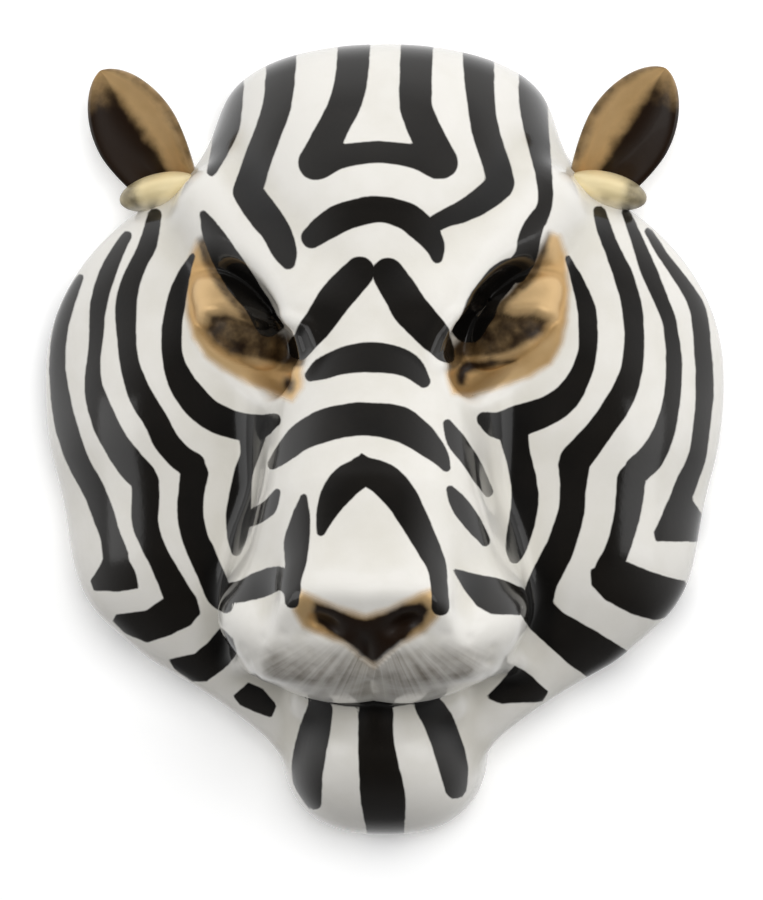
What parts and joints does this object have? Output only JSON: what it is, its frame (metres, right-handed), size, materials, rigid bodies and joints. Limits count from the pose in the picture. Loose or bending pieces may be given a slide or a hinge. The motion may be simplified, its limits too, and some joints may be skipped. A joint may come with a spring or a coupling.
{
  "type": "tiger mask",
  "caption": "Hollow glazed porcelain tiger face with black stripes and gold eyes, nose and ears, flat open back to hang on a wall.",
  "frame": {"origin": "middle of the mask's footprint, on the plane of its flat back rim", "axes": "+X to the viewer's right across the face, +Y up the face, +Z out of the face"},
  "size_m": [0.334, 0.39, 0.1732],
  "materials": {
    "glazed_porcelain": "gloss"
  },
  "bodies": {
    "root": {"tiger_mask": "glazed_porcelain"}
  },
  "joints": []
}
